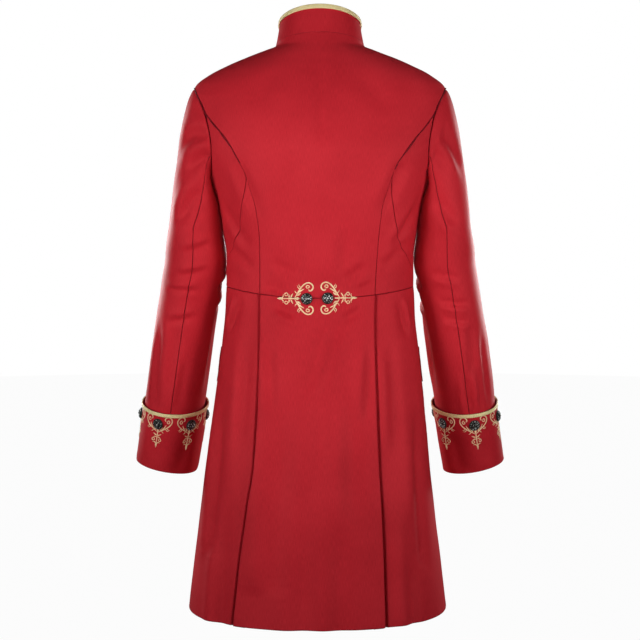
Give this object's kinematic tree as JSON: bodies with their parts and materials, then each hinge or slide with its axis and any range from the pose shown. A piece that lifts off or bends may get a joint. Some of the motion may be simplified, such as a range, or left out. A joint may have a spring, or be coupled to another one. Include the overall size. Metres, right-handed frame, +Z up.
{
  "type": "court jacket",
  "caption": "Knee-length court jacket in red satin, hollow as worn: stand collar, two-piece sleeves with braided cuffs, princess seams, waist seam and pleated skirt.",
  "frame": {"origin": "middle of the neck, level with the points where the shoulder seams meet the collar", "axes": "+Z up from the hem to the collar, -Y out of the front opening, +X to the wearer's left"},
  "size_m": [0.6466, 0.3316, 1.0137],
  "materials": {
    "satin": "heavy satin with a soft sheen",
    "braid": "metal-thread braid",
    "gem": "faceted dark glass-like resin in a metal setting"
  },
  "bodies": {
    "root": {"back_body": "satin", "skirt_back": "satin", "gore_left": "satin", "side_body_left": "satin", "front_body_left": "satin", "skirt_side_left": "satin", "skirt_front_left": "satin", "pocket_flap_left": "satin", "upper_sleeve_left": "satin", "under_sleeve_left": "satin", "gore_right": "satin", "side_body_right": "satin", "front_body_right": "satin", "skirt_side_right": "satin", "skirt_front_right": "satin", "pocket_flap_right": "satin", "upper_sleeve_right": "satin", "under_sleeve_right": "satin", "collar": "satin", "collar_braid": "braid", "cuff_left": "satin", "cuff_braid_left": "braid", "cuff_right": "satin", "cuff_braid_right": "braid", "cuff_button_left_1": "gem", "cuff_button_left_2": "gem", "cuff_button_left_3": "gem", "cuff_button_left_4": "gem", "cuff_button_left_5": "gem", "cuff_button_left_6": "gem", "cuff_button_right_1": "gem", "cuff_button_right_2": "gem", "cuff_button_right_3": "gem", "cuff_button_right_4": "gem", "cuff_button_right_5": "gem", "cuff_button_right_6": "gem", "waist_button_left": "gem", "waist_button_right": "gem", "front_button_1": "gem", "front_button_2": "gem", "front_button_3": "gem", "front_button_4": "gem", "front_button_5": "gem", "front_button_6": "gem", "front_button_7": "gem"}
  },
  "joints": []
}
